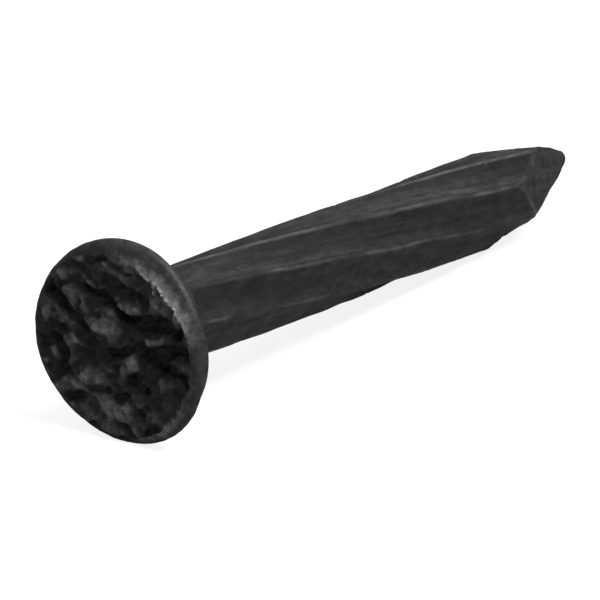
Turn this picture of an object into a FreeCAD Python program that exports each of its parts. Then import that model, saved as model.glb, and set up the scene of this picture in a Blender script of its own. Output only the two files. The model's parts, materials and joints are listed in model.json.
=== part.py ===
"""A fluted masonry spike: one small hardened steel nail, lying as it rests on a table.

The real object is one forging. It is written here as its four forged zones, each a
solid of its own, that meet face to face: the striking head, the plain neck that the
heading dies gripped, the shank with its rolled spiral flutes, and the pinched point.

The head's node ends with the fillet under it, so that its bearing face is a true ring.

Every zone is first made upright: the nail's axis is Z, station 0 is the bearing face
under the head, and stations grow towards the point. A clock angle turns about that
axis. The last step lays the nail down, head along -X and point along +X, so that a
clock angle runs from +Y (0 degrees) through the top (90 degrees), and wears the flat
that the rim rests on, level with the floor.
"""
import FreeCAD, Part

import math
import os

# Driving dimensions. Lengths are millimetres and angles are degrees.
length_under_head = 30.24    # bearing face to tip

shank_diameter = 3.76        # over the crests between the flutes
neck_length = 2.0            # plain stretch between the head and the flutes
neck_fillet = 0.3            # under the head
grip_ring_width = 0.6        # shallow ring left by the edge of the heading dies
grip_ring_depth = 0.07
grip_ring_margin = 0.05      # from the ring to the first flute

flute_count = 8
flute_depth = 0.2
land_width = 0.25            # crest left between two flutes
flute_twist = 3.05           # degrees of right-hand twist for each millimetre
land_clock = 31.0            # clock angle of one land at station 0

head_diameter = 7.8          # mean of the out-of-round rim
head_thickness = 0.76
face_edge_radius = 0.38      # rim rounding on the striking side
bearing_edge_radius = 0.22   # rim rounding on the shank side
head_offset = 0.37           # the head was upset off the shank's axis by this much
head_offset_clock = 285.0
oval_share = 0.041           # the rim is longer and shorter by this share, twice round
oval_clock = 45.5            # towards the longer diameter
lobe_share = 0.021           # and bulges by this share, three times round
lobe_clock = 103.4           # towards one bulge
flat_depth = 0.1             # the floor has worn this much off the rim's lowest place

checker_pitch = 1.15         # from one groove of the striking face to the next
checker_depth = 0.14
checker_width = 0.42
checker_clock = 20.0         # the direction of the first set; the second is square to it

tip_half_width = 0.2         # half the width of the blunt end between opposite facets
tip_offset = 0.56            # the pinched tip stands off the axis by this much
tip_offset_clock = 80.5
facet_clock = 70.6           # the way the first facet faces; the others follow each 90
facet_angles = (11.7, 15.4, 16.7, 18.9)   # each facet's angle to the axis, in that order

# Construction settings, with no size of the nail in them.
outline_points = 36          # the rim's curve runs through this many points
overcut = 1.0                # how far a cutter runs past what it cuts
rest_mesh = 0.01             # facet size for finding how the nail lies
rest_steps = 40              # halvings in the search for the resting angle

# Sizes that follow from those above.
crest_radius = shank_diameter / 2
flute_pitch = 360 / flute_count


def polar(radius, clock, station):
    """The point at a radius and clock angle at one station along the nail."""
    angle = math.radians(clock)
    return FreeCAD.Vector(radius * math.cos(angle), radius * math.sin(angle), station)


head_centre = polar(head_offset, head_offset_clock, 0)
tip_centre = polar(tip_offset, tip_offset_clock, length_under_head)


def facet_reach(number):
    """Distance from the axis to facet number's plane, at the station of the tip."""
    facing = polar(1, facet_clock + 90 * number, 0)
    return tip_half_width + facing.dot(FreeCAD.Vector(tip_centre.x, tip_centre.y, 0))


def facet_start(number):
    """Station where a facet first bites into the crest of the shank."""
    rise = crest_radius - facet_reach(number)
    return length_under_head - rise / math.tan(math.radians(facet_angles[number]))


point_start = min(facet_start(number) for number in range(len(facet_angles)))


def rim_radius(clock):
    """Radius of the out-of-round rim about the head's own centre."""
    oval = oval_share * math.cos(math.radians(2 * (clock - oval_clock)))
    lobes = lobe_share * math.cos(math.radians(3 * (clock - lobe_clock)))
    return head_diameter / 2 * (1 + oval + lobes)


def closed_edges_at(shape, station):
    """The rim edge that lies all in the plane at one station."""
    flat = []
    for edge in shape.Edges:
        box = edge.BoundBox
        if abs(box.ZMin - station) < 0.01 and abs(box.ZMax - station) < 0.01:
            flat.append(edge)
    return flat


def checker_groove(clock, offset):
    """A V-shaped groove across the striking face, as the solid that it takes out."""
    face = -head_thickness
    half = checker_width / 2 * (1 + overcut / checker_depth)
    run = head_diameter + 2 * overcut
    corners = [
        FreeCAD.Vector(-run / 2, offset - half, face - overcut),
        FreeCAD.Vector(-run / 2, offset + half, face - overcut),
        FreeCAD.Vector(-run / 2, offset, face + checker_depth),
    ]
    section = Part.Face(Part.makePolygon(corners + corners[:1]))
    groove = section.extrude(FreeCAD.Vector(run, 0, 0))
    groove.rotate(FreeCAD.Vector(0, 0, 0), FreeCAD.Vector(0, 0, 1), clock)
    groove.translate(head_centre)
    return groove


def under_head_fillet():
    """The swelling that takes the shank into the bearing face."""
    foot = FreeCAD.Vector(0, 0, 0)
    flare = FreeCAD.Vector(crest_radius + neck_fillet, 0, 0)
    bulge = neck_fillet * (1 - math.sqrt(0.5))
    middle = FreeCAD.Vector(crest_radius + bulge, 0, bulge)
    wall = FreeCAD.Vector(crest_radius, 0, neck_fillet)
    centre = FreeCAD.Vector(0, 0, neck_fillet)
    edges = [
        Part.makeLine(foot, flare),
        Part.Arc(flare, middle, wall).toShape(),
        Part.makeLine(wall, centre),
        Part.makeLine(centre, foot),
    ]
    section = Part.Face(Part.Wire(edges))
    return section.revolve(FreeCAD.Vector(0, 0, 0), FreeCAD.Vector(0, 0, 1), 360)


def head():
    """The upset head: an out-of-round disc with a rounded rim and a checkered face."""
    step = 360 / outline_points
    rim = [polar(rim_radius(step * n), step * n, -head_thickness) + head_centre
           for n in range(outline_points)]
    curve = Part.BSplineCurve()
    curve.interpolate(rim, PeriodicFlag=True)
    disc = Part.Face(Part.Wire(curve.toShape())).extrude(FreeCAD.Vector(0, 0, head_thickness))
    disc = disc.makeFillet(face_edge_radius, closed_edges_at(disc, -head_thickness))
    disc = disc.makeFillet(bearing_edge_radius, closed_edges_at(disc, 0))

    reach = head_diameter / 2 - face_edge_radius - checker_width / 2
    each_side = int(reach / checker_pitch)
    grooves = []
    for clock in (checker_clock, checker_clock + 90):
        for number in range(-each_side, each_side + 1):
            grooves.append(checker_groove(clock, number * checker_pitch))
    return disc.cut(grooves).fuse(under_head_fillet()).removeSplitter()


def neck():
    """The plain neck, with the shallow ring where the heading dies' edge bit it."""
    bar = Part.makeCylinder(crest_radius, neck_length - neck_fillet,
                            FreeCAD.Vector(0, 0, neck_fillet))
    half = grip_ring_width / 2
    bead = (half ** 2 + grip_ring_depth ** 2) / (2 * grip_ring_depth)
    middle = FreeCAD.Vector(0, 0, neck_length - grip_ring_margin - half)
    ring = Part.makeTorus(crest_radius + bead - grip_ring_depth, bead, middle,
                          FreeCAD.Vector(0, 0, 1))
    return bar.cut(ring)


def flute_cutter(clock, start, end):
    """The round bar, wound along the shank, whose passage leaves one hollow flute.

    It touches the flute's floor and both edges of the lands beside it, so its centre
    line runs at the distance where one circle passes through all three.
    """
    half_flute = math.radians(flute_pitch - math.degrees(land_width / crest_radius)) / 2
    floor = crest_radius - flute_depth
    chord = crest_radius * math.cos(half_flute)
    centre_line = (crest_radius ** 2 - floor ** 2) / (2 * (chord - floor))
    lead = 360 / flute_twist
    along = Part.Wire(Part.makeHelix(lead, end - start, centre_line).Edges)
    heading = FreeCAD.Vector(0, 2 * math.pi * centre_line, lead)
    circle = Part.makeCircle(centre_line - floor, FreeCAD.Vector(centre_line, 0, 0), heading)
    bar = along.makePipeShell([Part.Wire(circle)], True, True)
    bar.rotate(FreeCAD.Vector(0, 0, 0), FreeCAD.Vector(0, 0, 1), clock + flute_twist * start)
    bar.translate(FreeCAD.Vector(0, 0, start))
    return bar


def fluted_bar(start, end):
    """A length of shank between two stations, with its lands on one true cylinder."""
    bar = Part.makeCylinder(crest_radius, end - start, FreeCAD.Vector(0, 0, start))
    first_flute = land_clock + flute_pitch / 2
    cutters = [flute_cutter(first_flute + n * flute_pitch, start - overcut, end + overcut)
               for n in range(flute_count)]
    return bar.cut(cutters)


def fluted_shank():
    """The shank proper, from the end of the neck to where the first facet starts."""
    return fluted_bar(neck_length, point_start)


def facet_cutter(number):
    """What the pinching die takes off outside one facet of the point."""
    size = 4 * shank_diameter
    run = length_under_head - point_start + 2 * overcut
    block = Part.makeBox(size, size, 2 * run, FreeCAD.Vector(0, -size / 2, -run))
    block.rotate(FreeCAD.Vector(0, 0, 0), FreeCAD.Vector(0, 1, 0), -facet_angles[number])
    block.translate(FreeCAD.Vector(facet_reach(number), 0, length_under_head))
    block.rotate(FreeCAD.Vector(0, 0, 0), FreeCAD.Vector(0, 0, 1),
                 facet_clock + 90 * number)
    return block


def point():
    """The four-sided point, pinched out of the fluted bar, with a blunt end."""
    cutters = [facet_cutter(number) for number in range(len(facet_angles))]
    return fluted_bar(point_start, length_under_head).cut(cutters)


def lowest(points, angle):
    """Height of the lowest of some points once the nail is tipped point down."""
    return min(p.z * math.cos(angle) - p.x * math.sin(angle) for p in points)


def resting_angle(head_points, shank_points):
    """The tip at which the shank touches the floor and the rim goes flat_depth into it."""
    low = 0.0
    high = math.radians(45)
    for _ in range(rest_steps):
        middle = (low + high) / 2
        if lowest(head_points, middle) + flat_depth < lowest(shank_points, middle):
            low = middle
        else:
            high = middle
    return (low + high) / 2


def wear_flat(shape, floor):
    """The head with all that would be under the floor worn off it."""
    below = Part.makeBox(2 * head_diameter, 2 * head_diameter, head_diameter)
    below.translate(FreeCAD.Vector(-head_diameter, -head_diameter, floor - head_diameter))
    return shape.cut(below)


def lie_down(zones):
    """Lay the upright zones on Z = 0, with the origin under the middle of their box."""
    upright_to_lying = FreeCAD.Rotation(FreeCAD.Vector(1, 1, 1), 120)
    for shape in zones.values():
        shape.Placement = FreeCAD.Placement(FreeCAD.Vector(), upright_to_lying)
    points = {name: shape.tessellate(rest_mesh)[0] for name, shape in zones.items()}
    shank_points = points["neck"] + points["fluted_shank"] + points["point"]
    angle = resting_angle(points["head"], shank_points)
    tip_down = FreeCAD.Rotation(FreeCAD.Vector(0, 1, 0), math.degrees(angle))
    for shape in zones.values():
        shape.Placement = FreeCAD.Placement(FreeCAD.Vector(), tip_down.multiply(upright_to_lying))
    zones["head"] = wear_flat(zones["head"], lowest(shank_points, angle))

    lying = [p for shape in zones.values() for p in shape.tessellate(rest_mesh)[0]]
    xs = [p.x for p in lying]
    ys = [p.y for p in lying]
    shift = FreeCAD.Vector(-(min(xs) + max(xs)) / 2, -(min(ys) + max(ys)) / 2,
                           -min(p.z for p in lying))
    for shape in zones.values():
        shape.translate(shift)
    return shift, angle


zones = {"head": head(), "neck": neck(), "fluted_shank": fluted_shank(), "point": point()}
bearing_centre, tilt = lie_down(zones)
os.makedirs("parts", exist_ok=True)
for name, shape in zones.items():
    shape.exportStep("parts/" + name + ".step")
    print(name, "solids", len(shape.Solids), "volume", round(shape.Volume, 3),
          "valid", shape.isValid())
towards_point = (math.cos(tilt), 0, -math.sin(tilt))
print("bearing face centre", tuple(round(v, 4) for v in bearing_centre))
print("tilt", round(math.degrees(tilt), 3), "axis", tuple(round(v, 5) for v in towards_point))
print("point starts at station", round(point_start, 3))
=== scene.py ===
# %% [markdown]
# # A fluted masonry spike, lying on a pale table
#
# This lesson dresses a small blackened steel nail: a round head with a battered
# checkered face, a plain neck, a shank with eight spiral flutes, and a blunt point
# with four facets. The construction model fixes where everything is and how big it
# is, so the first step is to load it and to ask it for the nail's own directions.

# %% Load the construction model
import json
import math

import bpy
import numpy as np
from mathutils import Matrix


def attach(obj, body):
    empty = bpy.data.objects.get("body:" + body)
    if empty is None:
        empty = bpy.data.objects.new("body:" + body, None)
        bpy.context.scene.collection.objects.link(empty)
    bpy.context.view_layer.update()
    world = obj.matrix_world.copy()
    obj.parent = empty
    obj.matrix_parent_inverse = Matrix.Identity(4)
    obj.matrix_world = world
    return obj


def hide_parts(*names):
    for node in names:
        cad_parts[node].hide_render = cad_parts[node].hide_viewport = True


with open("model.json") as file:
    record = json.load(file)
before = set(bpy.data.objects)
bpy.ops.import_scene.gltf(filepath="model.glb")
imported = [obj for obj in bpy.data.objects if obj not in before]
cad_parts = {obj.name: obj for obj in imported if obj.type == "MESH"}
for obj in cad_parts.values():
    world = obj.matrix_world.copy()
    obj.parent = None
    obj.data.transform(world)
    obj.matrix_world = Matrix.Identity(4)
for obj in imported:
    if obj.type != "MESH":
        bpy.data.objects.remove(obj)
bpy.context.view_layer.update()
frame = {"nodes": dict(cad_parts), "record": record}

MM = 0.001

# %% [markdown]
# ## The nail's own directions
#
# The nail lies tipped, because its head lifts one end. Everything is easier to shape
# in the nail's own terms: a station along the axis, counted in millimetres from the
# bearing face under the head, and a clock angle about the axis, which starts sideways
# and turns up through the top. The two mounts say where the axis and the bearing face
# are, and each construction node's points say which stations it spans.

# %% Find the axis, the bearing face and each zone's stations
mounts = {mount["name"]: mount for mount in frame["record"]["mounts"]}
along = np.array(mounts["neck"]["axis"])
along = along / np.linalg.norm(along)
side = np.array([0.0, 1.0, 0.0])
upward = np.cross(along, side)
on_axis = np.array(mounts["neck"]["pos_m"])
on_seat = np.array(mounts["bearing_face"]["pos_m"])
bearing_centre = on_axis - along * ((on_axis - on_seat) @ along)
crest_radius = mounts["neck"]["dims"]["r_mm"]


def place(station, sideways, upwards):
    """World points in metres: bearing centre + station along + sideways + upwards."""
    parts = zip((station, sideways, upwards), (along, side, upward))
    return bearing_centre + MM * sum(np.asarray(v)[..., None] * way for v, way in parts)


def node_stations(node):
    """First and last station of a construction node, from its points' reach along."""
    vertices = frame["nodes"][node].data.vertices
    points = np.empty(len(vertices) * 3, np.float32)
    vertices.foreach_get("co", points)
    reach = (points.reshape(-1, 3) - bearing_centre) @ along / MM
    return float(reach.min()), float(reach.max())


face_station, fillet_end = node_stations("head")
neck_end = node_stations("neck")[1]
point_start, tip_station = node_stations("point")
stations = (face_station, fillet_end, neck_end, point_start, tip_station)
print("stations", [round(v, 2) for v in stations])

# %% [markdown]
# ## Helpers for shaped surfaces
#
# Every piece here is a skin stretched over rings of points, as a sock is knitted round
# by round. It could be sculpted or built from modifiers, but a formula gives the same
# result each time and lets neighbouring pieces agree along their shared ring. The
# random unevenness of forged steel comes from one small noise function with a seed.

# %% Easing and noise
def ease(low, high, value):
    """0 below low, 1 above high, and a smooth S-curve 3t^2 - 2t^3 between."""
    t = np.clip((value - low) / (high - low), 0, 1)
    return t * t * (3 - 2 * t)


def wander(u, v, seed, columns=64, rows=64):
    """Smooth noise from -1 to 1: random heights on a lattice, eased between neighbours.

    u repeats after the given number of columns, so that it can run round a bar.
    """
    lattice = np.random.default_rng(seed).uniform(-1, 1, (rows, columns))
    iu, iv = np.floor(u).astype(int), np.floor(v).astype(int)
    left, right = iu % columns, (iu + 1) % columns
    low, high = iv % rows, (iv + 1) % rows
    eu, ev = ease(0, 1, u - iu), ease(0, 1, v - iv)
    near = lattice[low, left] * (1 - eu) + lattice[low, right] * eu
    far = lattice[high, left] * (1 - eu) + lattice[high, right] * eu
    return near * (1 - ev) + far * ev


def layered(u, v, seed, columns=64, layers=3, fade=0.5):
    """Several layers of wander, each twice as fine and fade times as strong."""
    total = 0
    for layer in range(layers):
        finer = 2 ** layer
        total = total + fade ** layer * wander(u * finer, v * finer, seed + layer, columns * finer)
    return total


sample = layered(np.linspace(0, 9, 91), np.zeros(91), seed=1)
print("layered noise runs from", sample.min().round(2), "to", sample.max().round(2))

# %% [markdown]
# ## A skin over rings of points
#
# Each ring has the same number of points, so faces between two rings are a matter of
# counting: a point, the one beside it, and the same two on the next ring. A fan of
# triangles closes an end, because a mesh with a hole in it has no inside. Faces that
# meet at a sharp angle are left creased, and all others are shaded smooth.

# %% Faces, and the making of one closed piece
crease_angle = 60           # degrees


def ring_faces(rings, spokes, first=0):
    """Four-sided faces between neighbouring rings, turned outwards."""
    ring, spoke = np.meshgrid(np.arange(rings - 1), np.arange(spokes), indexing="ij")
    here = ring * spokes + spoke
    beside = ring * spokes + (spoke + 1) % spokes
    return first + np.stack([here, beside, beside + spokes, here + spokes], -1).reshape(-1, 4)


def fan_faces(centre, ring_start, spokes, forward):
    """Triangles from a centre point to a ring, facing along the axis or back."""
    spoke = np.arange(spokes)
    here, beside = ring_start + spoke, ring_start + (spoke + 1) % spokes
    hub = np.full(spokes, centre)
    return np.stack([hub, here, beside] if forward else [hub, beside, here], -1)


def make_piece(name, points, faces, masks):
    """One closed mesh object at the origin, with its masks as point attributes.

    Unevenness that would reach below the table is flattened against it.
    """
    points[:, 2] = np.maximum(points[:, 2], 0)
    mesh = bpy.data.meshes.new(name)
    mesh.from_pydata(points.tolist(), [], [row for group in faces for row in group.tolist()])
    for label, values in masks.items():
        layer = mesh.attributes.new(label, "FLOAT", "POINT")
        layer.data.foreach_set("value", np.asarray(values, np.float32).ravel())
    mesh.shade_smooth()
    mesh.set_sharp_from_angle(angle=math.radians(crease_angle))
    piece = bpy.data.objects.new(name, mesh)
    bpy.context.scene.collection.objects.link(piece)
    triangles = sum(len(face.vertices) - 2 for face in mesh.polygons)
    print(name, len(mesh.vertices), "points,", triangles, "triangles")
    return piece


def tube_piece(name, station, sideways, upwards, masks):
    """A skin over rings that run along the nail, with a fan closing each end."""
    rings, spokes = station.shape
    points = place(station, sideways, upwards).reshape(-1, 3)
    ends = [points[:spokes].mean(0), points[-spokes:].mean(0)]
    last = (rings - 1) * spokes
    faces = [ring_faces(rings, spokes),
             fan_faces(rings * spokes, 0, spokes, False),
             fan_faces(rings * spokes + 1, last, spokes, True)]
    closed = {label: np.append(values.ravel(), [values[0].mean(), values[-1].mean()])
              for label, values in masks.items()}
    return make_piece(name, np.vstack([points, ends]), faces, closed)

# %% [markdown]
# ## The fluted section
#
# Rolling presses eight shallow hollows into the round wire and leaves a narrow crest,
# or land, between each two. They wind to the right, about a quarter of a turn from the
# neck to the tip. One function gives the radius at any clock angle and station, so
# that the shank and the point, which is pinched out of the same bar, share it.

# %% The radius of the fluted bar
flute_count = 8
flute_depth = 0.2
land_width = 0.25
flute_twist = 3.05          # degrees of clock angle for each millimetre
land_clock = 31.0           # one land's clock angle at station 0
flute_run_in = 0.35         # the flutes deepen over this length, after the neck
flute_wall_power = 3.2      # 2 is a round hollow, more is a flat floor with steep walls
land_wander = 1.3           # how many degrees a land strays to either side
depth_wander = 0.12         # the share by which the flutes' depth wavers
land_loss = 0.03            # the most that wear has taken off a land, in millimetres
crest_line_width = 2.0      # degrees of clock angle that the rubbed line takes up

flute_pitch = 360 / flute_count
land_angle = math.degrees(land_width / crest_radius)


def degrees_past_land(clock, station):
    """Clock angle from the middle of the nearest land, below 0 before it.

    It is the remainder of (clock - first land - twist * station) over the flute pitch.
    The noise that strays the lands has one column for each flute.
    """
    stray = land_wander * wander(clock / flute_pitch, station / 2.2, seed=11, columns=flute_count)
    turned = (clock + stray - land_clock - flute_twist * station) / flute_pitch
    return (turned - np.round(turned)) * flute_pitch


def fluted_radius(clock, station):
    """Crest radius less depth * (1 - |t|^power), where t runs -1 to 1 across a flute.

    The second result is the hollow alone, 0 on a land and 1 on a flute's floor.
    """
    from_land = np.abs(degrees_past_land(clock, station))
    across = (flute_pitch / 2 - from_land) / (flute_pitch / 2 - land_angle / 2)
    hollow = np.clip(1 - np.abs(across) ** flute_wall_power, 0, 1)
    waver = wander(clock / flute_pitch, station / 3, seed=12, columns=flute_count)
    depth = flute_depth * (1 + depth_wander * waver)
    wear = 0.5 + 0.5 * wander(clock / 22.5, station / 1.1, seed=13, columns=16)
    sink = depth * hollow + land_loss * wear * (1 - hollow)
    starting = ease(neck_end, neck_end + flute_run_in, station)
    return crest_radius - starting * sink, hollow * starting


def crest_line(clock, station):
    """A patchy rubbed line along each land's middle: exp(-(angle / width)^2)."""
    patchy = 0.62 + 0.75 * wander(clock / 30, station / 1.6, seed=14, columns=12)
    past = degrees_past_land(clock, station)
    return np.exp(-(past / crest_line_width) ** 2) * patchy.clip(0, 1)


flute_start = neck_end + flute_run_in
flute_clock = land_clock + flute_pitch / 2 + flute_twist * flute_start
flute_floor = fluted_radius(flute_clock, np.array(flute_start))[0]
print("radius", crest_radius, "over the lands,", flute_floor.round(2), "at a flute's floor")

# %% [markdown]
# ## The shank
#
# It is a grid of rings and spokes over the fluted radius. Noise that winds with the
# flutes adds uneven scale, the streaks that rolling drew out, and a few dents. The same
# pass stores two masks for the finish: how worn each spot is, which is highest on the
# lands, and a mask of painted shade and streaks, which is highest on a flute's floor,
# where it paints shade in the hollow, and along the drawn lines, which it darkens.

# %% The uneven scale that the shank, the neck and the point share
scale_thickness = 0.02      # all in millimetres
patch_height = 0.013
streak_height = 0.010
dent_depth = 0.03


def share_of_turn(clock, station):
    """Share of a whole turn from the flutes' own start, which winds with them."""
    return (clock - flute_twist * station) / 360


def scale_and_dents(clock, station):
    """Added height: thickness + soft patches + long streaks - rare dents."""
    around = share_of_turn(clock, station)
    patches = patch_height * layered(around * 24, station / 1.5, seed=21, columns=24)
    streaks = streak_height * layered(around * 96, station / 2.5, seed=25, columns=96, layers=2)
    dents = dent_depth * ease(0.78, 1.0, wander(around * 40, station / 0.5, seed=29, columns=40))
    return scale_thickness + patches + streaks - dents


def drawn_lines(clock, station):
    """Long fine lines from 0 to 1 that wind with the flutes, for the finish."""
    around = share_of_turn(clock, station)
    lines = layered(around * 72, station / 3.0, seed=31, columns=72, layers=2, fade=0.7)
    return (0.5 + 0.6 * lines).clip(0, 1)

# %% Build the shank
spokes = 384
shank_rings = 250
wear_run_in = 1.0           # the lands are rubbed fully at this distance from the neck
hollow_shade = 0.4        # how much painted shade a flute's floor gets in the shade mask
line_darkening = 0.6          # how much the drawn lines count

clock_round = np.arange(spokes) * 360 / spokes
station, clock = np.meshgrid(np.linspace(neck_end, point_start, shank_rings), clock_round,
                             indexing="ij")
radius, hollow = fluted_radius(clock, station)
radius = radius + scale_and_dents(clock, station)
angle = np.radians(clock)
wear_and_highlight = crest_line(clock, station) * ease(neck_end, neck_end + wear_run_in, station)
# Painted shade on the flutes' floors, and darker drawn lines.
shade_and_streaks = hollow_shade * hollow + line_darkening * drawn_lines(clock, station)
shank = tube_piece("fluted_shank_skin", station, radius * np.cos(angle), radius * np.sin(angle),
                   {"wear_and_highlight": wear_and_highlight, "shade_and_streaks": shade_and_streaks})

# %% [markdown]
# ## The neck
#
# Between the head and the flutes the wire stays round, because the heading dies held
# it there. Their edge leaves one shallow ring. A revolved profile could make this, but
# the same grid of rings as the shank meets it point for point.

# %% Build the neck
grip_ring_width = 0.6
grip_ring_depth = 0.07
grip_ring_margin = 0.05     # from the ring to the first flute
scale_run_in = 0.1          # the scale thickens over this length, after the fillet
neck_rings = 60

station, clock = np.meshgrid(np.linspace(fillet_end, neck_end, neck_rings), clock_round,
                             indexing="ij")
ring_middle = neck_end - grip_ring_margin - grip_ring_width / 2
from_ring = (station - ring_middle) / (grip_ring_width / 2)
dip = grip_ring_depth * np.clip(1 - from_ring ** 2, 0, 1)
scaled = ease(fillet_end, fillet_end + scale_run_in, station)
radius = crest_radius - dip + scale_and_dents(clock, station) * scaled
angle = np.radians(clock)
# Painted shade in the grip ring's dip, and darker drawn lines.
shade_and_streaks = np.maximum(dip / grip_ring_depth, line_darkening * drawn_lines(clock, station))
neck = tube_piece("neck_skin", station, radius * np.cos(angle), radius * np.sin(angle),
                  {"wear_and_highlight": np.zeros_like(station), "shade_and_streaks": shade_and_streaks})

# %% [markdown]
# ## The point
#
# Two pairs of dies pinch the fluted bar to a blunt point, and here they closed a
# little off the axis. Each facet is nearly a plane, so a section is the fluted outline
# cut by four lines. Cutting a bar with four planes would give the facets too, but not
# their soft edges and slight swellings. So the rings are centred on a line that drifts
# from the axis to the tip, and each spoke is followed outwards, by halving, until it
# meets the section's edge.

# %% The facets and the pinched bar
tip_half_width = 0.2
tip_offset = 0.56           # the tip's centre stands off the axis by this much
tip_offset_clock = 80.5
facet_clocks = (66, 163, 247, 342)      # the clock angle that each facet faces
facet_leans = (11.5, 15, 17, 19.5)      # how many degrees each facet leans to the axis

# Where a facet swells: its number, then the swelling's place before the tip, its half
# length and its height, in millimetres.
facet_bows = ((0, 1.8, 0.5, 0.03), (2, 4.1, 1.1, 0.08))
facet_wave = 0.012
edge_rounding = 0.03
nose_rounding = 0.22        # the facets' edges are rounder by this much at the nose
nose_rounding_reach = 1.6   # and begin to be so this far before the tip
nose_length = 0.34


def towards(clock):
    """Unit step in the cross plane, as (sideways, upwards), at a clock angle."""
    return np.array([math.cos(math.radians(clock)), math.sin(math.radians(clock))])


tip_centre = tip_offset * towards(tip_offset_clock)


def facet_gap(number, station, sideways, upwards):
    """How far a place stands outside one facet's plane, in millimetres."""
    facing = towards(facet_clocks[number])
    reach = tip_half_width + facing @ tip_centre
    slope = math.tan(math.radians(facet_leans[number]))
    row = np.full_like(station, number + 0.5)
    wave = facet_wave * wander(station / 0.8, row, seed=41 + number)
    for bowed, before_tip, length, height in facet_bows:
        if bowed == number:
            wave = wave + height * np.exp(-((tip_station - before_tip - station) / length) ** 2)
    outwards = sideways * facing[0] + upwards * facing[1]
    return outwards - reach - (tip_station - station) * slope - wave


def soft_max(first, second, width):
    """The larger of two values, and more by (width - gap)^2 / (4 * width) where they cross."""
    blend = np.clip(width - np.abs(first - second), 0, None) / width
    return np.maximum(first, second) + blend ** 2 * width / 4


def outside_point(station, sideways, upwards):
    """How far a place stands outside the fluted bar as the facets cut it.

    The second result is how much further out the facets are than the bar, so it is
    above 0 on a facet. The third is the flutes' hollow, from 0 to 1.
    """
    clock = np.degrees(np.arctan2(upwards, sideways))
    radius, hollow = fluted_radius(clock, station)
    bar = np.hypot(sideways, upwards) - radius
    nearing = ease(tip_station - nose_rounding_reach, tip_station - nose_length, station)
    rounding = edge_rounding + nose_rounding * nearing
    facets = facet_gap(0, station, sideways, upwards)
    for number in range(1, len(facet_clocks)):
        facets = soft_max(facets, facet_gap(number, station, sideways, upwards), rounding)
    return soft_max(bar, facets, edge_rounding), facets - bar, hollow


print("tip centre", tip_centre.round(3), "with", len(facet_clocks), "facets")

# %% Build the point
point_rings = 170
nose_rings = 28
nose_swing = 88             # degrees of a quarter round; the last two are closed flat
halvings = 22

edge_wear = 0.8
edge_wear_width = 0.06
edge_burr = 0.02            # metal that the dies squeezed up along the facets' edges
edge_wear_run_in = 0.5

nose_start = tip_station - nose_length
swing = np.radians(np.linspace(0, nose_swing, nose_rings))
point_stations = np.concatenate([np.linspace(point_start, nose_start, point_rings),
                                 nose_start + nose_length * np.sin(swing[1:])])
station, clock = np.meshgrid(point_stations, clock_round, indexing="ij")
angle = np.radians(clock)
drift = (station - point_start) / (tip_station - point_start)
centre_side, centre_up = drift * tip_centre[0], drift * tip_centre[1]
near, far = np.zeros_like(station), np.full_like(station, 2 * crest_radius)
for _ in range(halvings):
    middle = (near + far) / 2
    out = outside_point(station, centre_side + middle * np.cos(angle),
                        centre_up + middle * np.sin(angle))[0] > 0
    near, far = np.where(out, near, middle), np.where(out, middle, far)
reach = near
sideways, upwards = centre_side + reach * np.cos(angle), centre_up + reach * np.sin(angle)
_, past_bar, hollow = outside_point(station, sideways, upwards)
axis_clock = np.degrees(np.arctan2(upwards, sideways))
off_facet = 1 - ease(-0.05, 0.0, past_bar)
crisp = (np.exp(-(past_bar / edge_wear_width) ** 2)
         * ease(point_start, point_start + edge_wear_run_in, station))
patchy = 0.55 + 0.7 * wander(clock / 20, station / 0.5, seed=44, columns=18)
on_lands = crest_line(axis_clock, station) * off_facet
wear_and_highlight = np.maximum(edge_wear * crisp * patchy.clip(0, 1), on_lands)
# Painted shade on the flutes' floors away from the facets, and darker drawn lines.
shade_and_streaks = hollow_shade * hollow * off_facet + line_darkening * drawn_lines(axis_clock, station)
nose = np.sqrt(np.clip(1 - ((station - nose_start) / nose_length).clip(0, 1) ** 2, 0, 1))
reach = (reach + scale_and_dents(clock, station) + edge_burr * crisp) * nose
point = tube_piece("point_skin", station, centre_side + reach * np.cos(angle),
                   centre_up + reach * np.sin(angle), {"wear_and_highlight": wear_and_highlight, "shade_and_streaks": shade_and_streaks})

# %% [markdown]
# ## The head
#
# The head is upset from the end of the wire, so its rim isn't round and isn't centred
# on the shank. The rim is a profile carried round that outline: a rounding on the
# striking side, the edge, a smaller rounding, the flat bearing face, and the fillet
# into the neck. Its lowest stretch is flattened against the table, and the nail lies
# on it.

# %% The head's outline
head_diameter = 7.8
head_offset = 0.37          # the rim's centre stands off the axis by this much
head_offset_clock = 285.0
oval_share, oval_clock = 0.041, 45.5
lobe_share, lobe_clock = 0.021, 103.4
face_edge_radius = 0.38
bearing_edge_radius = 0.22
neck_fillet = fillet_end    # it starts at the bearing face, which is station 0
head_centre = head_offset * towards(head_offset_clock)


def rim_radius(clock):
    """Mean radius * (1 + oval twice round + lobes three times round)."""
    turn = np.radians(clock)
    oval = oval_share * np.cos(2 * (turn - math.radians(oval_clock)))
    lobes = lobe_share * np.cos(3 * (turn - math.radians(lobe_clock)))
    return head_diameter / 2 * (1 + oval + lobes)


# How much wider the rim's back is than its front, in millimetres, at some clock angles.
back_places = ((0, 0.0), (80, 0.0), (95, 0.03), (112, 0.08), (150, 0.05), (172, 0.09), (190, 0.0),
               (208, -0.19), (224, -0.12), (242, 0.0), (360, 0.0))
back_clock, back_width = np.array(back_places).T


def back_swell(clock):
    """The listed extra width at a clock angle: the mean of five readings around it."""
    near = [(clock + step) % 360 for step in (-8, -4, 0, 4, 8)]
    return sum(np.interp(way, back_clock, back_width) for way in near) / len(near)


quarters = np.arange(0, 360, 90)
print("head centre", head_centre.round(3), "rim at four clocks", rim_radius(quarters).round(2))
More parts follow.
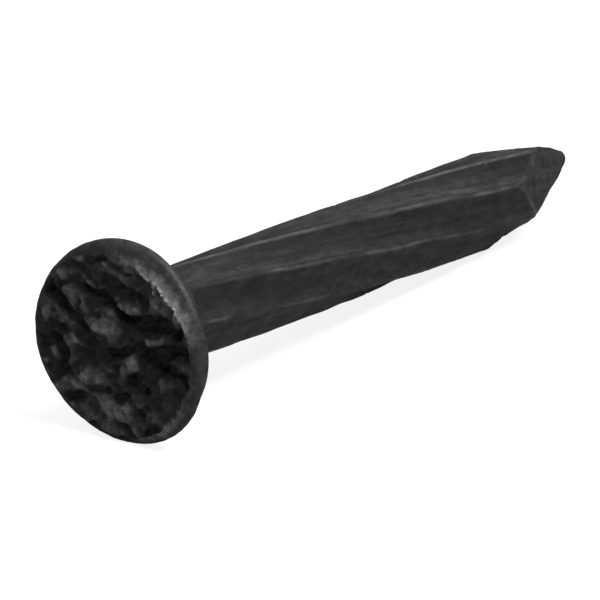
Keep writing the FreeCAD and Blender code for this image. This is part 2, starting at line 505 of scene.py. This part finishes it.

# %% [markdown]
# ## The striking face
#
# The face was pressed with a checker so that a hammer wouldn't slip, and then it was
# struck and tumbled. What is left is lumps about a millimetre across, with torn gouges
# between them. It could be sculpted, but a height that is a sum of simple terms can be
# changed one term at a time. The terms are a worn checker, low scarps, soft lumps,
# broken pits with steep sides, fine grit, and two short lists: the gouges that cut
# deepest and the plateaus that stand highest.

# %% The relief of the striking face
face_up_clock = 61.3        # which way is up on the face, as the lists below see it
face_right_clock = face_up_clock + 90
checker_pitch = 1.3
checker_turn = 30.0
scarp_spacing = 1.15        # the face is torn into overlapping steps, this far apart

# How far each kind of unevenness goes into the face, in millimetres.
checker_depths = (0.05, 0.03)
scarp_depth = 0.09
lump_depth = 0.095
pit_depth = 0.12
grit_depth = 0.021

# How far noise pushes the checker, and the gouges and plateaus, sideways.
checker_bend = 0.30
outline_tear = 0.07

# Each gouge: the places it runs through, in millimetres right and up from the face's
# middle, then its width and its depth.
gouges = (
    (((-2.2, 3.0), (-1.8, 2.3), (-1.45, 1.45), (-1.15, 0.9)), 0.30, 0.26),
    (((-0.5, 2.5), (0.0, 1.95), (0.5, 1.4), (0.75, 0.75), (1.85, 0.45)), 0.26, 0.20),
    (((-2.8, 1.1), (-2.5, 0.6), (-2.65, 0.1), (-2.95, -0.25)), 0.30, 0.24),
    (((-1.6, 2.9), (-0.7, 2.8)), 0.22, 0.14),
    (((-0.5, -0.3), (0.3, -0.45), (1.1, -0.4)), 0.30, 0.20),
    (((1.4, 0.25), (2.35, 0.0), (2.85, -0.55)), 0.40, 0.26),
    (((1.05, -0.9), (2.4, -1.05), (3.1, -1.45)), 0.42, 0.32),
    (((1.25, -1.15), (1.85, -1.75), (2.35, -2.2), (2.6, -2.6)), 0.28, 0.24),
    (((0.0, -1.55), (0.5, -2.05)), 0.30, 0.18),
    (((-3.1, -1.2), (-2.4, -1.5)), 0.26, 0.16),
    (((-1.9, -1.25), (-1.2, -1.5)), 0.24, 0.16),
    (((-1.1, 0.4), (-0.8, -0.3)), 0.45, 0.16),
    (((1.1, 1.65), (1.5, 1.5)), 0.45, 0.16),
)
gouge_deepening = 1.15      # all listed depths are taken this many times
gouge_narrowing = 1.6       # and all listed widths are divided by this

# Each plateau: where its middle is, its half length and half width, the slant of its
# length in degrees, and its height. They are the lumps that the hammer flattened.
plateaus = (
    (-0.45, 0.80, 0.85, 0.30, -24, 0.10),
    (0.20, -1.00, 0.55, 0.33, 10, 0.11),
    (1.15, 0.95, 0.70, 0.22, -38, 0.10),
    (1.80, -0.55, 0.55, 0.20, -14, 0.09),
    (-0.25, 2.45, 0.35, 0.16, -48, 0.08),
    (-1.30, 2.30, 0.30, 0.45, 15, 0.06),
    (-2.05, 0.75, 0.35, 0.30, -50, 0.07),
    (-2.35, -1.05, 0.60, 0.24, -38, 0.08),
    (-1.15, -0.85, 0.45, 0.30, 20, 0.06),
    (1.95, 2.35, 0.40, 0.16, -30, 0.08),
    (-1.35, -2.25, 0.50, 0.35, -30, 0.06),
    (1.30, -2.10, 0.40, 0.35, 0, 0.05),
    (-0.30, 3.60, 0.30, 0.14, -10, 0.07),
    (-2.70, 2.00, 0.30, 0.20, 40, 0.06),
)
print(len(gouges), "gouges and", len(plateaus), "plateaus")

# %% The sum of the relief
def gouge_depth(right, up):
    """Deepest of all gouges at each place: depth * exp(-(distance / width)^2)."""
    deepest = np.zeros_like(right)
    for places, width, depth in gouges:
        for (x0, y0), (x1, y1) in zip(places, places[1:]):
            length_squared = (x1 - x0) ** 2 + (y1 - y0) ** 2
            share = ((right - x0) * (x1 - x0) + (up - y0) * (y1 - y0)) / length_squared
            share = share.clip(0, 1)
            gap = np.hypot(right - x0 - share * (x1 - x0), up - y0 - share * (y1 - y0))
            bell = np.exp(-(gouge_narrowing * gap / width) ** 2)
            deepest = np.maximum(deepest, gouge_deepening * depth * bell)
    return deepest


def swell_height(right, up):
    """Sum of all plateaus at each place: height * flat-topped bell over an ellipse."""
    total = np.zeros_like(right)
    for x0, y0, length, width, slant, height in plateaus:
        lean = math.radians(slant)
        along_it = (right - x0) * math.cos(lean) + (up - y0) * math.sin(lean)
        across_it = (up - y0) * math.cos(lean) - (right - x0) * math.sin(lean)
        total += height * np.exp(-(((along_it / length) ** 2 + (across_it / width) ** 2) ** 2))
    return total


def sawtooth(run):
    """A long even rise, then a quick fall back to 0, once in each scarp spacing."""
    phase = run / scarp_spacing - np.floor(run / scarp_spacing)
    return phase * (1 - ease(0.84, 1.0, phase))


def checker_line(across):
    """1 along each pressed line, one pitch apart, and 0 on the pads between them."""
    pitches = across / checker_pitch
    return ease(0.55, 1.0, 2 * np.abs(pitches - np.floor(pitches) - 0.5))


def pushed(right, up, amount, cell, seed, fade):
    """The same places, each moved to the right and up by a noise times the amount."""
    u, v = right / cell, up / cell
    return (right + amount * layered(u, v, seed, layers=2, fade=fade),
            up + amount * layered(u, v, seed + 4, layers=2, fade=fade))


def face_relief(right, up):
    """Sink in millimetres: checker + lumps + pits + scarps + gouges - plateaus + grit.

    The first three are calmer on the plateaus.
    """
    bent_right, bent_up = pushed(right, up, checker_bend, 1.2, seed=51, fade=0.4)
    turn = math.radians(checker_turn)
    first = bent_right * math.cos(turn) + bent_up * math.sin(turn)
    second = bent_up * math.cos(turn) - bent_right * math.sin(turn)
    checker = checker_depths[0] * checker_line(first) + checker_depths[1] * checker_line(second)
    lumps = lump_depth * layered(right / 0.8, up / 0.8, seed=61, fade=0.55)
    slanted = ((right + 0.5 * up) / 0.62, (up - 0.3 * right) / 0.46)
    pits = pit_depth * ease(0.15, 0.80, layered(*slanted, seed=71, layers=2, fade=0.45))
    grit = grit_depth * layered(right / 0.16, up / 0.16, seed=91, layers=2, fade=0.6)
    torn_places = pushed(right, up, outline_tear, 0.3, seed=81, fade=0.5)
    swell = swell_height(*torn_places)
    calm = 1 - 0.7 * ease(0.0, 0.06, swell)
    return (calm * (checker + lumps + pits) + scarp_depth * sawtooth(first)
            + gouge_depth(*torn_places) - swell + grit)


def in_face_terms(sideways, upwards):
    """Right and up on the face, seen from outside, from the head centre."""
    off = np.stack([sideways - head_centre[0], upwards - head_centre[1]], -1)
    return off @ towards(face_right_clock), off @ towards(face_up_clock)


middle_relief = face_relief(*np.meshgrid(np.linspace(-2, 2, 81), np.linspace(-2, 2, 81)))
print("relief from", middle_relief.min().round(2), "to", middle_relief.max().round(2), "mm deep")

# %% [markdown]
# ## The border of the face
#
# On one side, the lit one, the torn face stops short of the rim at a raised ragged lip,
# and a smooth slope runs from there to the edge, with a highlight painted on it and on
# the lip. On the other side it runs over the rounding as far as the rim's side. A short
# list gives the distance from the rim at which the tearing stops, in each direction on
# the face, and how much of the lit side's lip, straight slope and painted highlight the
# border has there.

# %% Where the torn face stops
# Direction from the face's right towards its top in degrees, distance in from the rim
# in millimetres, and, from 0 to 1, how much of the lit side's raised lip, straightened
# slope and painted highlight the border has.
border_places = (
    (-180, -0.10, 0.0), (-110, -0.06, 0.1), (-92, 0.12, 0.7), (-78, 0.36, 0.6), (-62, 0.46, 0.35),
    (-40, 0.52, 0.05), (-20, 0.42, 0.05), (-10, 0.44, 0.5), (5, 0.50, 1.0), (23, 0.72, 1.0),
    (45, 0.78, 0.85), (58, 0.72, 0.4), (72, 0.55, 0.10), (96, 0.20, 0.05), (115, 0.0, 0.0),
    (180, -0.10, 0.0))
border_direction, border_inset, border_lit_side = np.array(border_places).T
border_tear = 0.15          # how far noise pushes the border, in millimetres
side_reach = 0.4            # how much further the tearing comes down on the rim's side
lip_height, lip_width, lip_inset = 0.055, 0.07, 0.02
slope_scale = 0.012         # unevenness of the smooth slope
high_wear = 0.6             # how rubbed the highest spots of the torn face are
slope_wear = 0.07           # how rubbed the whole smooth slope is at least
print("border from", border_inset.min(), "to", border_inset.max(), "mm in from the rim")

# %% The torn face, its lip and the slope together
def border_at(clock):
    """The listed inset and lit-side weight in a direction: the mean of seven readings around it."""
    direction = (face_right_clock - clock + 180) % 360 - 180
    near = [(direction + step + 180) % 360 - 180 for step in (-9, -6, -3, 0, 3, 6, 9)]
    return (sum(np.interp(way, border_direction, border_inset) for way in near) / len(near),
            sum(np.interp(way, border_direction, border_lit_side) for way in near) / len(near))


def slope_width(clock):
    """Where the rounding begins, in from the rim: at the border, or its radius if more."""
    return np.maximum(border_at(clock)[0], face_edge_radius)


def face_surface(clock, inset, lean):
    """Sink, wear and highlight mask, and painted shade mask at a distance in from the rim.

    Sink is the relief inside the border, less a bell-shaped lip along it, with thin
    scale outside. On the lit side the lip and the slope carry a painted highlight in the
    second mask, and the third paints shade where the relief sinks deep. Lean is 0 on the
    face and 1 on the rim's side.
    """
    radius = rim_radius(clock) - inset
    sideways = head_centre[0] + radius * np.cos(np.radians(clock))
    upwards = head_centre[1] + radius * np.sin(np.radians(clock))
    right, up = in_face_terms(sideways, upwards)
    stop, lit_side = border_at(clock)
    ragged = border_tear * layered(right / 0.5, up / 0.5, seed=95, fade=0.65)
    gap = inset - side_reach * lean + ragged - stop
    rough = ease(-0.02, 0.20, gap)
    relief = face_relief(right, up)
    # On the lit side the lip is raised, and it and the slope below it carry a painted highlight.
    lip = lit_side * np.exp(-((gap - lip_inset) / lip_width) ** 2)
    scale = slope_scale * layered(right / 0.35, up / 0.35, seed=97)
    sink = rough * relief - lip_height * lip + (1 - rough) * scale
    slope = lit_side * ease(-0.80, -0.20, gap) * (1 - ease(0.0, 0.08, gap))
    high_spots = high_wear * rough * ease(0.12, -0.10, relief) + slope_wear * (1 - rough)
    # Wear on the high spots, with the painted highlight of the lit side's slope and lip.
    wear_and_highlight = np.maximum(np.maximum(slope, lip), high_spots)
    # The last mask paints shade where the relief sinks deep.
    return sink, wear_and_highlight, rough * ease(0.06, 0.30, relief)

# %% [markdown]
# ## The skin of the head
#
# Rings that shrink to a hub would crowd their points in the face's middle and leave the
# torn edges too coarse. So the face is a square grid, with its squares bent into
# circles, and its border is joined point for point to the first ring of the rim. From
# there rings go over the rounding, down the side, across the bearing face and up the
# fillet.

# %% The striking face as a square grid bent round
face_steps = 224
rim_spokes = 4 * face_steps

square = np.linspace(-1, 1, face_steps + 1)
x, y = np.meshgrid(square, square, indexing="ij")
wide = np.abs(x) >= np.abs(y)
size = np.where(wide, x, y)
safe = np.where(size == 0, 1, size)
swing = np.where(wide, math.pi / 4 * y / safe, math.pi / 2 - math.pi / 4 * x / safe)
face_clock = np.degrees(swing + np.where(size < 0, math.pi, 0))
reach = np.abs(size) * (rim_radius(face_clock) - slope_width(face_clock))
sink, *face_masks = face_surface(face_clock, rim_radius(face_clock) - reach, np.zeros_like(reach))
turn = np.radians(face_clock)
face_points = place(face_station + sink, head_centre[0] + reach * np.cos(turn),
                    head_centre[1] + reach * np.sin(turn)).reshape(-1, 3)
print(len(face_points), "points on the face")

# %% The rim's rounding and side
rounding_rings = 14
side_rings = 10
slope_flattening = 0.75     # how nearly straight the slope is where the lit-side weight is full
relief_fade = 0.1           # the relief dies out from here, past the rounding

rim_clock = -45 + np.arange(rim_spokes) * 360 / rim_spokes
turn = np.radians(rim_clock)
outline = rim_radius(rim_clock)
bearing_start = -bearing_edge_radius
part = np.linspace(0, 1, rounding_rings + 1)[1:, None]
flatter = slope_flattening * border_at(rim_clock)[1]
in_share = (1 - flatter) * (1 - np.sin(part * math.pi / 2)) + flatter * (1 - part)
down_share = (1 - flatter) * (1 - np.cos(part * math.pi / 2)) + flatter * part
side_drop = np.linspace(face_edge_radius, bearing_start - face_station, side_rings + 1)[1:, None]
nothing = np.zeros((side_rings, rim_spokes))
inset = np.vstack([slope_width(rim_clock) * in_share, nothing])
drop = np.vstack([face_edge_radius * down_share, side_drop + nothing])
lean = np.vstack([np.sin(part * math.pi / 2) + np.zeros(rim_spokes), nothing + 1])
past_edge = np.maximum(drop - face_edge_radius, 0)
clocks = np.broadcast_to(rim_clock, inset.shape)
sink, *edge_masks = face_surface(clocks, inset - past_edge, lean)
sink = sink * (1 - ease(relief_fade, past_edge.max(), past_edge))
reach = outline - inset - sink * lean
at = face_station + drop + sink * np.sqrt(1 - lean ** 2)
reach = reach + back_swell(rim_clock) * past_edge / past_edge.max()
edge_points = place(at, head_centre[0] + reach * np.cos(turn),
                    head_centre[1] + reach * np.sin(turn)).reshape(-1, 3)
print("rim from", outline.min().round(2), "to", outline.max().round(2), "mm from its centre")

# %% The bearing side of the head, down to the neck
corner_rings = 10
bearing_rings = 8

quarter = np.radians(np.linspace(0, 90, corner_rings + 1))[1:]
foot = crest_radius + neck_fillet
rings = []
for a in quarter:
    reach = outline + back_swell(rim_clock) - bearing_edge_radius * (1 - math.cos(a))
    rings.append((np.full(rim_spokes, bearing_start + bearing_edge_radius * math.sin(a)),
                  head_centre[0] + reach * np.cos(turn), head_centre[1] + reach * np.sin(turn)))
_, outer_side, outer_up = rings[-1]
for mix in np.linspace(0, 1, bearing_rings + 1)[1:]:
    rings.append((np.zeros(rim_spokes), outer_side + mix * (foot * np.cos(turn) - outer_side),
                  outer_up + mix * (foot * np.sin(turn) - outer_up)))
for a in quarter:
    reach = foot - neck_fillet * math.sin(a)
    rings.append((np.full(rim_spokes, neck_fillet * (1 - math.cos(a))),
                  reach * np.cos(turn), reach * np.sin(turn)))
back_points = place(*(np.array(v) for v in zip(*rings))).reshape(-1, 3)
print(len(rings), "rings from the rim's edge to the neck")

# %% Join the grid, the rings and the hub at the neck into one head
centre = place(np.array([fillet_end]), np.array([0.0]), np.array([0.0]))
points = np.vstack([face_points, edge_points, back_points, centre])

steps = face_steps + 1
grid_i, grid_j = np.meshgrid(np.arange(face_steps), np.arange(face_steps), indexing="ij")
here = grid_i * steps + grid_j
face_quads = np.stack([here, here + 1, here + steps + 1, here + steps], -1).reshape(-1, 4)
count = np.arange(face_steps)
edge = np.concatenate([face_steps * steps + count, (face_steps - count) * steps + face_steps,
                       face_steps - count, count * steps])
first = len(face_points)
beside = np.roll(np.arange(rim_spokes), -1)
seam = np.stack([edge, edge[beside], first + beside, first + np.arange(rim_spokes)], -1)
ring_count = (len(points) - first - 1) // rim_spokes
hub = len(points) - 1
plain = np.zeros(len(back_points) + 1)
head_masks = {label: np.concatenate([on_face.ravel(), on_edge.ravel(), plain])
              for label, on_face, on_edge in zip(("wear_and_highlight", "shade_and_streaks"), face_masks, edge_masks)}
head = make_piece("head_skin", points,
                  [face_quads, seam, ring_faces(ring_count, rim_spokes, first),
                   fan_faces(hub, hub - rim_spokes, rim_spokes, True)], head_masks)

# %% [markdown]
# ## The finish
#
# Hardening leaves a thin black oxide on the steel. It is nearly as dark as soot, a
# little glossy, slightly mottled, and rubbed through to greyer metal on the lands and
# edges. A painted texture could be wrapped round it, but noise has no seams. Scale and
# wear serve two materials, so each is a node group with its own named inputs, and the
# wear group also paints the highlight on the head's lit side. The patterns use Object
# coordinates, which stay put on the steel. The masks that each piece carries say where it
# is worn, where a highlight is painted, where shade is painted in its hollows, and where
# its drawn lines are darker.

# %% Node helpers
def add_node(tree, kind, values=None, **settings):
    """A node with its settings and its unlinked inputs' values."""
    node = tree.nodes.new(kind)
    for name, value in settings.items():
        setattr(node, name, value)
    for name, value in (values or {}).items():
        node.inputs[name].default_value = value
    return node


def group_tree(name, inputs, outputs):
    """An empty node group with named sockets, and its input and output nodes."""
    tree = bpy.data.node_groups.new(name, "ShaderNodeTree")
    for label, kind, value in inputs:
        socket = tree.interface.new_socket(label, in_out="INPUT", socket_type=kind)
        if value is not None:
            socket.default_value = value
    for label, kind in outputs:
        tree.interface.new_socket(label, in_out="OUTPUT", socket_type=kind)
    return tree, tree.nodes.new("NodeGroupInput"), tree.nodes.new("NodeGroupOutput")


def feed(tree, value, socket):
    """Sets a socket to a plain number or colour, or links an output to it."""
    if isinstance(value, (int, float, tuple)):
        socket.default_value = value
    else:
        tree.links.new(value, socket)


def noise(tree, vector, scale, detail, roughness):
    """A noise texture on a vector. Scale counts features per metre, and may be a socket."""
    node = add_node(tree, "ShaderNodeTexNoise", {"Detail": detail, "Roughness": roughness})
    tree.links.new(vector, node.inputs["Vector"])
    feed(tree, scale, node.inputs["Scale"])
    return node.outputs["Fac"]


def remap(tree, value, low, high, to_low, to_high):
    """A value taken from one range to another, and held inside it."""
    node = add_node(tree, "ShaderNodeMapRange", {"From Min": low, "From Max": high,
                                                 "To Min": to_low, "To Max": to_high})
    tree.links.new(value, node.inputs["Value"])
    return node.outputs["Result"]


def combine(tree, operation, first, second):
    """Two values through one math operation, held between 0 and 1. Either may be a number."""
    node = add_node(tree, "ShaderNodeMath", operation=operation, use_clamp=True)
    for socket, value in zip(node.inputs, (first, second)):
        feed(tree, value, socket)
    return node.outputs["Value"]


def mix_colour(tree, share, first, second):
    """A mix of two colours by a share. Either may be a plain colour."""
    node = add_node(tree, "ShaderNodeMix", data_type="RGBA")
    colour_a, colour_b, result = node.inputs[6], node.inputs[7], node.outputs[2]
    for socket, value in ((node.inputs["Factor"], share), (colour_a, first), (colour_b, second)):
        feed(tree, value, socket)
    return result


print("shader nodes for", bpy.app.version_string)

# %% The oxide group: a mottled dark colour and a fine uneven height
noise_low, noise_high = 0.38, 0.62      # most of a noise texture lies between these
fine_scale = 14000.0                    # specks per metre

oxide, given, made = group_tree(
    "oxide_scale",
    [("Vector", "NodeSocketVector", None),
     ("Dark", "NodeSocketColor", (0.010, 0.010, 0.011, 1)),
     ("Light", "NodeSocketColor", (0.030, 0.031, 0.033, 1)),
     ("Patch Scale", "NodeSocketFloat", 2200.0)],
    [("Color", "NodeSocketColor"), ("Height", "NodeSocketFloat"), ("Patches", "NodeSocketFloat")])
mottle = noise(oxide, given.outputs["Vector"], given.outputs["Patch Scale"], detail=6.0,
               roughness=0.75)
patches = remap(oxide, mottle, noise_low, noise_high, 0.0, 1.0)
oxide.links.new(mix_colour(oxide, patches, given.outputs["Dark"], given.outputs["Light"]),
                made.inputs["Color"])
fine = noise(oxide, given.outputs["Vector"], fine_scale, detail=2.0, roughness=0.6)
halves = [combine(oxide, "MULTIPLY", part, 0.5) for part in (patches, fine)]
oxide.links.new(combine(oxide, "ADD", *halves), made.inputs["Height"])
oxide.links.new(patches, made.inputs["Patches"])
print(oxide.name, "has", len(oxide.nodes), "nodes")

# %% The wear and highlight group: bright bare steel where a mask of wear and painted highlight is high, broken up by noise
rubbed_scale = 3200.0                   # rubbed spots per metre
least_rubbed = 0.30                     # the share of the mask that is left between them

highlight_wear_group, given, made = group_tree(
    "rubbed_and_highlit",
    [("Vector", "NodeSocketVector", None),
     ("Base", "NodeSocketColor", (0.02, 0.02, 0.02, 1)),
     ("Bare And Highlight", "NodeSocketColor", (0.12, 0.122, 0.126, 1)),
     ("Wear And Highlight", "NodeSocketFloat", 0.0),
     ("Amount", "NodeSocketFloat", 0.7)],
    [("Color", "NodeSocketColor"), ("Wear And Highlight Share", "NodeSocketFloat")])
spots = noise(highlight_wear_group, given.outputs["Vector"], rubbed_scale, detail=4.0, roughness=0.6)
broken = remap(highlight_wear_group, spots, noise_low, noise_high, least_rubbed, 1.0)
# This share is wear, and on the head's lit side a painted highlight as well.
wear = combine(highlight_wear_group, "MULTIPLY", combine(highlight_wear_group, "MULTIPLY", given.outputs["Wear And Highlight"], broken),
               given.outputs["Amount"])
highlight_wear_group.links.new(mix_colour(highlight_wear_group, wear, given.outputs["Base"], given.outputs["Bare And Highlight"]),
                 made.inputs["Color"])
highlight_wear_group.links.new(wear, made.inputs["Wear And Highlight Share"])
print(highlight_wear_group.name, "has", len(highlight_wear_group.nodes), "nodes")

# %% Blackened steel
black_specular = 0.36
# A near black that paints shade in hollows and darkens the drawn lines.
shade_black = (0.004, 0.004, 0.0045, 1)
shade_black_share = 0.68           # how far a place fully in the shade mask is painted towards the near black
bare_metallic = 0.75


def mask(tree, label):
    """A piece's own point attribute as a value."""
    return add_node(tree, "ShaderNodeAttribute", attribute_name=label).outputs["Fac"]


def black_steel(name, dark, light, bare_and_highlight, wear_and_highlight_amount, patch_roughness, bump_height, stretch):
    """Oxide mixed towards bare steel by wear and painted highlight, then towards a near
    black by the mask of painted shade in hollows and darker drawn lines.

    Patch roughness is that of the dark patches and of the light ones. The patterns are
    drawn out lengthwise by the stretch.
    """
    material = bpy.data.materials.new(name)
    material.use_nodes = True
    tree = material.node_tree
    shader = tree.nodes["Principled BSDF"]
    shader.inputs["Specular IOR Level"].default_value = black_specular
    mapping = add_node(tree, "ShaderNodeMapping", {"Scale": (1 / stretch, 1, 1)})
    feed(tree, tree.nodes.new("ShaderNodeTexCoord").outputs["Object"], mapping.inputs["Vector"])
    scale = add_node(tree, "ShaderNodeGroup", {"Dark": dark, "Light": light}, node_tree=oxide)
    edges = add_node(tree, "ShaderNodeGroup", {"Bare And Highlight": bare_and_highlight, "Amount": wear_and_highlight_amount}, node_tree=highlight_wear_group)
    for group in (scale, edges):
        feed(tree, mapping.outputs["Vector"], group.inputs["Vector"])
    feed(tree, scale.outputs["Color"], edges.inputs["Base"])
    feed(tree, mask(tree, "wear_and_highlight"), edges.inputs["Wear And Highlight"])
    # Painted shade in hollows, and the drawn lines, go towards the near black.
    shade = remap(tree, mask(tree, "shade_and_streaks"), 0.0, 1.0, 0.0, shade_black_share)
    bump = add_node(tree, "ShaderNodeBump", {"Strength": 1.0, "Distance": bump_height})
    feed(tree, scale.outputs["Height"], bump.inputs["Height"])
    looks = {
        "Base Color": mix_colour(tree, shade, edges.outputs["Color"], shade_black),
        "Metallic": remap(tree, edges.outputs["Wear And Highlight Share"], 0.0, 1.0, 0.0, bare_metallic),
        "Roughness": remap(tree, scale.outputs["Patches"], 0.0, 1.0, *patch_roughness),
        "Normal": bump.outputs["Normal"]}
    for label, value in looks.items():
        feed(tree, value, shader.inputs[label])
    print(name, "has", len(tree.nodes), "nodes")
    return material

# %% The steel of the rolled shank and that of the struck head
shank_steel = black_steel(
    "drawn_black_steel", dark=(0.005, 0.005, 0.0056, 1), light=(0.030, 0.0312, 0.0334, 1),
    bare_and_highlight=(0.24, 0.246, 0.25, 1), wear_and_highlight_amount=0.7, patch_roughness=(0.58, 0.42),
    bump_height=0.000014, stretch=2.2)
# The head's bare colour is light, so that the same mask paints the highlight on the rim's lit side.
head_steel = black_steel(
    "struck_black_steel", dark=(0.009, 0.009, 0.0098, 1), light=(0.026, 0.027, 0.0285, 1),
    bare_and_highlight=(0.44, 0.455, 0.465, 1), wear_and_highlight_amount=0.95, patch_roughness=(0.6, 0.40),
    bump_height=0.00002, stretch=1.0)

# %% Give each piece its steel and its body, and hide the construction node that it stands for
for piece, node, steel in ((head, "head", head_steel), (neck, "neck", shank_steel),
                           (shank, "fluted_shank", shank_steel), (point, "point", shank_steel)):
    piece.data.materials.append(steel)
    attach(piece, "root")
    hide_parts(node)
    print(piece.name, "stands for", node, "in", steel.name)

# %% [markdown]
# ## The camera
#
# The nail is seen from beside its head and a little above, through a long lens, so
# that its far end looks hardly smaller than its near end. The view is level. The camera
# is placed from the bearing face, in steps to the right, up and back.

# %% Place the camera
camera_azimuth = -55.4      # degrees
camera_elevation = 21.5
camera_distance = 400.0     # millimetres, and so are all the rest
aim_right = 6.47            # from the bearing face's centre to the middle of the view
aim_above = 1.183
lens = 631.9
sensor_width = 36

azimuth, elevation = math.radians(camera_azimuth), math.radians(camera_elevation)
camera_back = np.array([math.sin(azimuth) * math.cos(elevation),
                        -math.cos(azimuth) * math.cos(elevation), math.sin(elevation)])
camera_right = np.array([math.cos(azimuth), math.sin(azimuth), 0.0])
camera_up = np.cross(camera_back, camera_right)
camera = bpy.data.objects.new("camera", bpy.data.cameras.new("camera"))
camera.data.lens = lens
camera.data.sensor_width = sensor_width
camera.data.clip_start = 0.01
camera.data.clip_end = 10
camera.location = bearing_centre + MM * (aim_right * camera_right + aim_above * camera_up
                                         + camera_distance * camera_back)
camera.rotation_euler = (math.pi / 2 - elevation, 0, azimuth)
bpy.context.scene.collection.objects.link(camera)
bpy.context.scene.camera = camera
print("camera at", [round(v, 4) for v in camera.location])

# %% [markdown]
# ## Floor and light
#
# The table is a pale plain sheet that glows for the camera alone, so it looks white,
# but its glow doesn't light the nail from below. A soft lamp above and to the right of
# the camera picks out the rim and the lands, a faint one beyond the nail adds a sheen
# along its top, a wide one overhead softens the shadows, and a dim surround fills them.

# %% The floor
floor_size = 3.0            # metres
sheet_grey = 0.32
sheet_glow = 0.86
half = floor_size / 2
floor_mesh = bpy.data.meshes.new("floor")
corners = [(-half, -half, 0), (half, -half, 0), (half, half, 0), (-half, half, 0)]
floor_mesh.from_pydata(corners, [], [(0, 1, 2, 3)])
floor = bpy.data.objects.new("floor", floor_mesh)
bpy.context.scene.collection.objects.link(floor)
paint = bpy.data.materials.new("pale_table")
paint.use_nodes = True
sheet = paint.node_tree.nodes["Principled BSDF"]
sheet.inputs["Base Color"].default_value = (sheet_grey, sheet_grey, sheet_grey, 1)
sheet.inputs["Roughness"].default_value = 0.9
sheet.inputs["Specular IOR Level"].default_value = 0.0
sheet.inputs["Emission Color"].default_value = (1, 1, 1, 1)
seen = paint.node_tree.nodes.new("ShaderNodeLightPath").outputs["Is Camera Ray"]
glow = combine(paint.node_tree, "MULTIPLY", seen, sheet_glow)
paint.node_tree.links.new(glow, sheet.inputs["Emission Strength"])
floor_mesh.materials.append(paint)
print("floor", floor_size, "m across")

# %% Lamps and surround
def soft_lamp(name, direction, distance, size, power):
    """A square lamp in a direction from the nail, in metres and watts, turned to face it."""
    lamp = bpy.data.lights.new(name, "AREA")
    lamp.shape = "SQUARE"
    lamp.size = size
    lamp.energy = power
    holder = bpy.data.objects.new(name, lamp)
    holder.location = distance * direction / np.linalg.norm(direction)
    holder.rotation_euler = holder.location.to_track_quat("Z", "Y").to_euler()
    bpy.context.scene.collection.objects.link(holder)
    print(name, "at", [round(v, 2) for v in holder.location])


# The ways to the lamps, in steps to the camera's right, up and back.
key_way = 0.50 * camera_right + 0.72 * camera_up + 0.48 * camera_back
far_way = 0.24 * camera_right + 0.73 * camera_up - 0.64 * camera_back
overhead_way = np.array([0.0, 0.0, 1.0])
soft_lamp("key_lamp", key_way, distance=0.5, size=0.18, power=2.3)
soft_lamp("far_lamp", far_way, distance=0.6, size=0.20, power=0.2)
soft_lamp("overhead_lamp", overhead_way, distance=0.9, size=0.8, power=1.3)

surround = bpy.data.worlds.new("surround")
surround.use_nodes = True
background = surround.node_tree.nodes["Background"]
background.inputs["Color"].default_value = (0.93, 0.97, 1, 1)
background.inputs["Strength"].default_value = 0.20
bpy.context.scene.world = surround
bpy.context.scene.view_settings.view_transform = "Standard"
